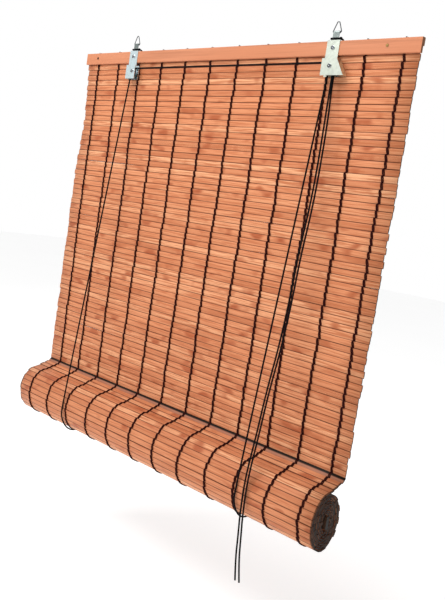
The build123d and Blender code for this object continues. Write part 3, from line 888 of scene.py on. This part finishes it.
class BLIND_OT_slats(bpy.types.Operator):
    """Hang the curtain's slats: upper ones that stay, lower ones below them, and the folded one"""

    bl_idname = "blind.slats"
    bl_label = "Hang Slats"

    def execute(self, context):
        sizes = context.scene.blind_sizes
        material = bamboo_material("slat_bamboo")
        tree = curtain_tree()
        middle_y = curtain_high.y - sizes.thickness / 2
        shared = {
            **slat_values(sizes, material),
            "First Middle": sizes.first_middle,
            "Middle Depth": middle_y,
            "Left Bow": 0.006,
            "Waver": 0.0008,
        }
        upper = grown("upper_slats", tree, {**shared, "Rows": sizes.still_rows})
        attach(upper, "headrail_frame")
        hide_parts("hanging_slats")
        lower_rows = sizes.rows - sizes.still_rows
        values = {**shared, "Rows": lower_rows, "First Row": sizes.still_rows}
        lower = grown("lower_slats", tree, values)
        top = row_top(sizes, sizes.still_rows)
        crumple(lower, top, top - lower_rows * sizes.pitch)
        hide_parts("hanging_slats")

        # The folded slat's finish has a painted dull mauve cast and painted crevice shade.
        shaded = bamboo_material("fold_bamboo", 0.50, folded=True)
        values = {**shared, "Rows": 1, "First Row": sizes.rows, "Left Bow": 0.0, "Material": shaded}
        folded = grown("folded_slat", tree, values)
        fold_out(folded, middle_y, row_top(sizes, sizes.rows) + 0.0001)
        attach(folded, "rolled_part")
        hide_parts("hanging_slats")
        return {"FINISHED"}


class BLIND_OT_roll(bpy.types.Operator):
    """Wind the rolled part from slats, fine ones in its core"""

    bl_idname = "blind.roll"
    bl_label = "Wind Roll"

    def execute(self, context):
        sizes = context.scene.blind_sizes
        material = bamboo_material("roll_bamboo", 0.04, wound=True)
        shared = {**slat_values(sizes, material), **roll_values(sizes), "Waver": 0.0005}
        values = {**shared, "To Turn": CORE_TURN, "Height": sizes.height * OUTER_HEIGHT}
        outer = grown("roll_outer_slats", roll_tree(True), values)
        values = {
            **shared,
            "From Turn": CORE_TURN,
            "To Turn": sizes.roll_turns,
            "Pitch": sizes.pitch / 2,
            "Height": sizes.height / 2,
            "Seed": 23,
        }
        core = grown("roll_core_slats", roll_tree(False), values)
        for piece in (outer, core):
            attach(piece, "rolled_part")
            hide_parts("slat_roll")
        return {"FINISHED"}


class BLIND_OT_threads(bpy.types.Operator):
    """Weave the paired threads down both faces of the curtain and round the roll"""

    bl_idname = "blind.threads"
    bl_label = "Weave Threads"

    def execute(self, context):
        sizes = context.scene.blind_sizes
        material = thread_material("thread")
        shared = thread_values(sizes, material)
        tree = straight_thread_tree()
        out = sizes.thread_radius * STRAND_SINK
        front = curtain_high.y - sizes.thickness - out
        back = curtain_high.y + out
        top = row_top(sizes, 0)
        gather = row_top(sizes, sizes.still_rows)
        foot = row_top(sizes, sizes.rows)
        for face, depth, start, dip in (
            ("front", front, rail_low.z, 0.0004),
            ("back", back, top, -0.0004),
        ):
            face_values = {**shared, "Depth": depth, "Dip": dip}
            phase = (top - start) / sizes.pitch
            values = {**face_values, "From": start, "To": gather, "Phase": phase}
            upper = grown(f"upper_{face}_threads", tree, values)
            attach(upper, "headrail_frame")
            values = {**face_values, "From": gather, "To": foot, "Phase": float(sizes.still_rows)}
            lower = grown(f"lower_{face}_threads", tree, values)
            crumple(lower, gather, foot)
            for piece in (upper, lower):
                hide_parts("warp_threads")

        values = {
            **column_values(sizes, material),
            "Depth": rail_low.y + 0.0020,
            "Top": rail_high.z + 0.0003,
            "Radius": 0.00095,
        }
        knots = grown("top_knots", knot_tree(), values)
        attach(knots, "headrail_frame")

        values = {
            **shared,
            "Depth": front,
            "From": foot,
            "To": foot - sizes.pitch * 0.95,
            "Phase": float(sizes.rows),
        }
        kink = grown("folded_threads", tree, values)
        fold_out(kink, curtain_high.y - sizes.thickness, foot)
        values = {
            **shared,
            **roll_values(sizes),
            "To Turn": 0.93,
            "Lift": out,
            "Strip Y": fold_end(sizes)[0] - 0.0006,
            "Strip Z": fold_end(sizes)[1] + 0.0007,
        }
        wound = grown("roll_threads", wound_thread_tree(), values)
        for piece in (kink, wound):
            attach(piece, "rolled_part")
        return {"FINISHED"}


# ------------------ cords
def millimetres(*points):
    """A route in metres from points in millimetres."""
    return [tuple(value * MM for value in point) for point in points]


def smooth_line(name, route):
    """Points read from one smooth curve through the route."""
    curve = bpy.data.curves.new(name + "_line", "CURVE")
    curve.dimensions = "3D"
    spline = curve.splines.new("NURBS")
    spline.points.add(len(route) - 1)
    for point, place in zip(spline.points, route):
        point.co = (*place, 1.0)
    spline.order_u = 3
    spline.use_endpoint_u = True
    spline.resolution_u = 16
    mesh = plain_mesh(added(name + "_line", curve))
    line = [vertex.co.copy() for vertex in mesh.vertices]
    bpy.data.meshes.remove(mesh)
    return line


UP, DOWN = 1, -1
HANG_Z, LEAVE_Z = -0.0585, -0.550  # a lift cord's front run: from the wheel to the roll's front
SEAT_Z, CLIMB_Z = -0.5636, -0.030  # its back run: from the roll's back to the rail
TAIL_Z = -0.546  # where a pull cord's tail begins
SAME_PLACE = 1e-5  # points nearer than this are one


def divided(line, passes):
    """Cut a line where it passes each height in turn, going the way given, into stretches."""
    stretches, here, wanted = [], [line[0]], list(passes)
    for start, end in zip(line, line[1:]):
        height, way = wanted[0] if wanted else (None, 0)
        if (end.z - start.z) * way > 0 and min(start.z, end.z) < height <= max(start.z, end.z):
            cut = start.lerp(end, (height - start.z) / (end.z - start.z))
            stretches.append([*here, cut])
            here = [cut]
            wanted.pop(0)
        here.append(end)
    return [*stretches, here]


def cord_tube(name, line, material, sides=12):
    """A round tube along the line, with a map that runs round it and along it, closed at both ends."""
    line = [p for i, p in enumerate(line) if i == 0 or (p - line[i - 1]).length > SAME_PLACE]
    along = [0.0]
    for start, end in zip(line, line[1:]):
        along.append(along[-1] + (end - start).length)
    before, after = [line[0], *line[:-1]], [*line[1:], line[-1]]
    tangents = [(end - start).normalized() for start, end in zip(before, after)]
    side = tangents[0].orthogonal().normalized()
    vertices, faces, maps = [], [], []
    for place, tangent in zip(line, tangents):
        side = (side - tangent * side.dot(tangent)).normalized()
        up = tangent.cross(side)
        for k in range(sides):
            angle = TURN * k / sides
            vertices.append(place + (side * math.cos(angle) + up * math.sin(angle)) * CORD / 2)
    for ring, (low, high) in enumerate(zip(along, along[1:])):
        base, above = ring * sides, (ring + 1) * sides
        for k in range(sides):
            nxt, u, v = (k + 1) % sides, k / sides, (k + 1) / sides
            faces.append((base + k, base + nxt, above + nxt, above + k))
            maps.append([(u, low), (v, low), (v, high), (u, high)])
    last = (len(line) - 1) * sides
    faces.append(tuple(reversed(range(sides))))
    faces.append(tuple(last + k for k in range(sides)))
    maps.append([(k / sides, 0.0) for k in reversed(range(sides))])
    maps.append([(k / sides, along[-1]) for k in range(sides)])
    mesh = bpy.data.meshes.new(name)
    mesh.from_pydata(vertices, [], faces)
    layer = mesh.uv_layers.new(name="cord")
    for polygon, corners in zip(mesh.polygons, maps):
        polygon.use_smooth = len(corners) == 4
        for loop, corner in zip(polygon.loop_indices, corners):
            layer.data[loop].uv = corner
    mesh.materials.append(material)
    made = added(name, mesh)
    return made


LEFT_LIFT = millimetres(
    (-173.0, -8.8, -49.1), (-177.4, -8.8, -49.1), (-177.4, -8.8, -53.5),
    (-177.4, -8.8, -61.5), (-177.4, -53.4, -563.6), (-177.4, -53.4, -586.2),
    (-177.4, -36.5, -607.9), (-177.4, -11.6, -607.9), (-177.4, 5.2, -586.6),
    (-177.4, 5.4, -563.6), (-175.4, 4.9, -23.6), (-175.4, 4.9, -19.6),
    (-175.4, 0.94, -19.6),
)
RIGHT_LIFT = millimetres(
    (192.4, -5.55, -67.5), (192.4, -5.55, -49.1), (183.6, -5.55, -49.1),
    (183.6, -5.55, -53.5), (183.6, -5.55, -61.5), (183.6, -53.4, -563.6),
    (183.6, -53.4, -586.2), (183.6, -36.5, -607.9), (183.6, -11.6, -607.9),
    (183.6, 5.2, -586.6), (183.6, 5.4, -563.6), (190.6, 4.9, -23.6),
    (190.6, 4.9, -19.6), (190.6, 0.94, -19.6),
)
CROSS_CORD = millimetres(
    (-173.0, -8.8, -49.1), (180.0, -8.8, -49.1), (192.4, -8.8, -49.1),
    (192.4, -8.8, -67.5),
)
FRONT_PULL = millimetres(
    (192.4, -8.8, -67.5), (192.4, -8.8, -82.0), (196.2, -13.6, -112.0),
    (200.6, -18.8, -167.0), (202.6, -23.6, -221.0), (201.4, -28.9, -276.0),
    (203.4, -34.0, -331.0), (203.2, -39.7, -388.0), (199.8, -44.9, -443.0),
    (199.2, -50.0, -497.0), (196.8, -54.4, -546.0), (197.4, -54.9, -588.0),
    (199.8, -54.2, -622.0), (202.0, -55.0, -648.0), (206.0, -54.3, -674.0),
)
BACK_PULL = millimetres(
    (192.4, -5.55, -67.5), (192.4, -5.55, -82.0), (198.4, -10.8, -112.0),
    (203.4, -17.2, -168.0), (205.6, -22.2, -222.0), (204.4, -27.7, -277.0),
    (206.4, -33.0, -332.0), (206.2, -38.8, -389.0), (202.9, -44.2, -444.0),
    (202.3, -49.4, -498.0), (200.6, -54.2, -547.0), (201.6, -54.8, -589.0),
    (204.6, -54.3, -623.0), (207.6, -55.0, -649.0), (212.6, -54.4, -674.0),
)


def lay_pull_cord(name, node_name, route, material):
    """One hanging pull cord: its upper run hangs from the head rail, its tail rises with it."""
    run, tail = divided(smooth_line(name, route), [(TAIL_Z, DOWN)])
    for piece_name, line, far_end in ((name, run, "object"), (name + "_tail", tail, "bare")):
        piece = cord_tube(piece_name, line, material)
        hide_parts(node_name)
        if far_end == "object":
            crumple(piece, route[0][2], TAIL_Z)
        else:
            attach(piece, "rolled_part")
        long = sum((b - a).length for a, b in zip(line, line[1:]))


class BLIND_OT_pull_cords(bpy.types.Operator):
    """Hang the two pull cords from the lock"""

    bl_idname = "blind.pull_cords"
    bl_label = "Hang Pull Cords"

    def execute(self, context):
        material = shared_material("cord_braid", braid_material, True)
        lay_pull_cord("front_pull_strand", "front_pull_cord", FRONT_PULL, material)
        lay_pull_cord("back_pull_strand", "back_pull_cord", BACK_PULL, material)
        return {"FINISHED"}


class BLIND_OT_lift_cords(bpy.types.Operator):
    """Lay the two slings under the roll and the cord that crosses between the brackets"""

    bl_idname = "blind.lift_cords"
    bl_label = "Lay Lift Cords"

    def execute(self, context):
        material = shared_material("cord_braid", braid_material, True)
        passes = [(HANG_Z, DOWN), (LEAVE_Z, DOWN), (SEAT_Z, UP), (CLIMB_Z, UP)]
        for side, route in (("left", LEFT_LIFT), ("right", RIGHT_LIFT)):
            line = smooth_line(side + "_lift", route)
            over_wheel, front, sling, back, over_rail = divided(line, passes)
            node_name = side + "_lift_cord"
            for label, stretch in (("wheel", over_wheel), ("anchor", over_rail)):
                piece = cord_tube(f"{side}_lift_{label}_run", stretch, material)
                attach(piece, "headrail_frame")
                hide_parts(node_name)
            for label, stretch, anchor_z, low_z in (
                ("front", front, HANG_Z, LEAVE_Z),
                ("back", back, CLIMB_Z, SEAT_Z),
            ):
                piece = cord_tube(f"{side}_lift_{label}_run", stretch, material)
                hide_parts(node_name)
                crumple(piece, anchor_z, low_z)
            piece = cord_tube(f"{side}_sling", sling, material)
            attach(piece, "rolled_part")
            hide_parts(node_name)
        cross = cord_tube("cross_strand", smooth_line("cross", CROSS_CORD), material)
        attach(cross, "headrail_frame")
        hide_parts("cross_cord")
        knot = braid_material("knot_braid", False)
        for side in ("left", "right"):
            dress(side + "_anchor_knot", knot)
        return {"FINISHED"}


# ------------------ rail, brackets and hardware
class BLIND_OT_rails(bpy.types.Operator):
    """Finish the head rail, the bottom rail and the tied thread ends"""

    bl_idname = "blind.rails"
    bl_label = "Finish Rails"

    def execute(self, context):
        colours = context.scene.blind_colours
        wood = wood_material("rail_wood", tuple(colours.rail), (0.23, 0.10, 0.05))
        dress("headrail", wood)
        core = wood_material("core_wood", (0.06, 0.032, 0.02), (0.012, 0.008, 0.006))
        dress("bottom_rail", core)
        dress("warp_knots", shared_material("thread", thread_material))
        return {"FINISHED"}


class BLIND_OT_brackets(bpy.types.Operator):
    """Finish the folded brackets and their rings"""

    bl_idname = "blind.brackets"
    bl_label = "Finish Brackets"

    def execute(self, context):
        colours = context.scene.blind_colours
        both = tuple(colours.zinc), tuple(colours.left_zinc)
        zinc = plated_material("zinc_sheet", both[0], 0.30, 0.30, both[1])
        wire = plated_material("ring_wire", scaled(colours.steel, 0.25), 0.30, 0.5)
        for side in ("left", "right"):
            dress(side + "_bracket", zinc)
            dress(side + "_ring", wire)
        return {"FINISHED"}


class BLIND_OT_hardware(bpy.types.Operator):
    """Finish the wheels, rivets, screws, pins and the lock roller"""

    bl_idname = "blind.hardware"
    bl_label = "Finish Hardware"

    def execute(self, context):
        colours = context.scene.blind_colours
        plastic = moulded_material("pulley_plastic")
        for name in ("left_pulley", "right_front_pulley", "right_back_pulley"):
            dress(name, plastic)
        steel = tuple(colours.steel)
        dress("left_pulley_spacer", plated_material("spacer_steel", steel, 0.32, 0.6))
        for side in ("left", "right"):
            rivet, screw = side + "_pulley_rivet", side + "_bracket_screw"
            # Rivet and screw heads get a painted highlight in the middle and a painted shadow ring
            # round their recess.
            dress(rivet, head_material(rivet, steel, [(0.0, 1.3), (0.0009, 0.06), (0.0022, 0.9)]))
            dress(screw, head_material(screw, steel, [(0.0, 1.7), (0.0010, 0.08), (0.0020, 1.1)]))
        dress("lock_roller", plated_material("roller_brass", tuple(colours.brass), 0.35, 0.5))
        dress("rail_pins", pin_material("pin_brass"))
        return {"FINISHED"}


# ------------------ studio
FLOOR_REACH = 7.0
FLOOR_GLOW = 0.46  # the floor's own light, so that it stays pale
KEY_SIZE, KEY_PLACE = 0.4, (-0.85, -1.35, 0.95)
TOP_SIZE, TOP_PLACE = 0.9, (0.1, -0.75, 1.1)
SENSOR_WIDTH = 36.0  # millimetres


def lamp(name, power, size, place, aim):
    """A square soft lamp aimed at a point."""
    light = bpy.data.lights.new(name, "AREA")
    light.energy, light.size = power, size
    made = added(name, light)
    made.location = place
    made.rotation_euler = (Vector(aim) - Vector(place)).to_track_quat("-Z", "Y").to_euler()


class BLIND_OT_studio(bpy.types.Operator):
    """Set up the pale floor, the white surround, the lamps and the camera"""

    bl_idname = "blind.studio"
    bl_label = "Set Up Studio"

    def execute(self, context):
        studio = context.scene.blind_studio
        low, high = cad_box
        level = low.z - studio.floor_drop
        mesh = bpy.data.meshes.new("floor")
        ways = ((-1, -1), (1, -1), (1, 1), (-1, 1))
        corners = [(x * FLOOR_REACH, y * FLOOR_REACH, level) for x, y in ways]
        mesh.from_pydata(corners, [], [(0, 1, 2, 3)])
        floor = added("floor", mesh)
        paper, tree, place = new_material("studio_paper", 0.9, specular=0.1)
        shade = ramp(noise(place, 3.0), 0.3, 0.7)
        white = blend(shade, (0.93, 0.93, 0.93), (0.95, 0.95, 0.95))
        sockets = tree.nodes["Principled BSDF"].inputs
        tree.links.new(white.socket, sockets["Base Color"])
        sockets["Emission Color"].default_value = (1.0, 1.0, 1.0, 1.0)
        sockets["Emission Strength"].default_value = FLOOR_GLOW
        mesh.materials.append(paper)

        world = bpy.data.worlds.new("surround")
        world.use_nodes = True
        sky, tree = world.node_tree.nodes["Background"], world.node_tree
        sky.inputs["Color"].default_value = (1.0, 1.0, 1.0, 1.0)
        heading = split(result(tree, "ShaderNodeTexCoord", output="Generated"))[0]
        glow = heading.times_plus(-studio.side_fall, studio.surround)
        seen = result(tree, "ShaderNodeLightPath", output="Is Camera Ray")
        tree.links.new(glow.math("MAXIMUM", seen).socket, sky.inputs["Strength"])
        context.scene.world = world
        context.scene.view_settings.view_transform = "Standard"
        aim = (0.0, 0.0, (low.z + high.z) / 2)
        lamp("key", studio.key_power, KEY_SIZE, KEY_PLACE, aim)
        lamp("top", studio.top_power, TOP_SIZE, TOP_PLACE, (0.0, 0.0, low.z))

        camera_data = bpy.data.cameras.new("camera")
        camera_data.lens = studio.lens
        camera_data.sensor_width = SENSOR_WIDTH
        camera = added("camera", camera_data)
        tilt, heading = math.radians(90 - studio.elevation), math.radians(studio.azimuth)
        level_view = Euler((tilt, 0.0, heading))
        turned = level_view.to_matrix() @ Matrix.Rotation(math.radians(studio.roll), 3, "Z")
        camera.rotation_euler = turned.to_euler()
        camera.location = studio.camera_place
        context.scene.camera = camera
        return {"FINISHED"}


class BLIND_PT_sidebar(bpy.types.Panel):
    """The blind's sizes, colours and steps in the sidebar"""

    bl_idname = "BLIND_PT_sidebar"
    bl_label = "Bamboo Blind"
    bl_space_type = "VIEW_3D"
    bl_region_type = "UI"
    bl_category = "Blind"

    def draw(self, context):
        layout = self.layout
        for group in SETTINGS:
            settings, box = getattr(context.scene, group), layout.box()
            for name in settings.__annotations__:
                box.prop(settings, name)
        for operator in STEPS:
            layout.operator(operator.bl_idname)


STEPS = (
    BLIND_OT_studio,
    BLIND_OT_pull_cords,
    BLIND_OT_lift_cords,
    BLIND_OT_slats,
    BLIND_OT_threads,
    BLIND_OT_roll,
    BLIND_OT_rails,
    BLIND_OT_brackets,
    BLIND_OT_hardware,
)
SETTINGS = {"blind_sizes": BlindSizes, "blind_colours": BlindColours, "blind_studio": BlindStudio}


def register():
    """Register every class and hang the settings on the scene."""
    for kind in (*SETTINGS.values(), *STEPS, BLIND_PT_sidebar):
        bpy.utils.register_class(kind)
    for name, kind in SETTINGS.items():
        setattr(bpy.types.Scene, name, PointerProperty(type=kind))


def unregister():
    """Take everything off again."""
    for name in SETTINGS:
        delattr(bpy.types.Scene, name)
    for kind in reversed((*SETTINGS.values(), *STEPS, BLIND_PT_sidebar)):
        bpy.utils.unregister_class(kind)


def main():
    """Run every step."""
    register()
    bpy.ops.blind.studio()
    bpy.ops.blind.pull_cords()
    bpy.ops.blind.lift_cords()
    bpy.ops.blind.slats()
    bpy.ops.blind.threads()
    bpy.ops.blind.roll()
    bpy.ops.blind.rails()
    bpy.ops.blind.brackets()
    bpy.ops.blind.hardware()


if __name__ == "__main__":
    main()
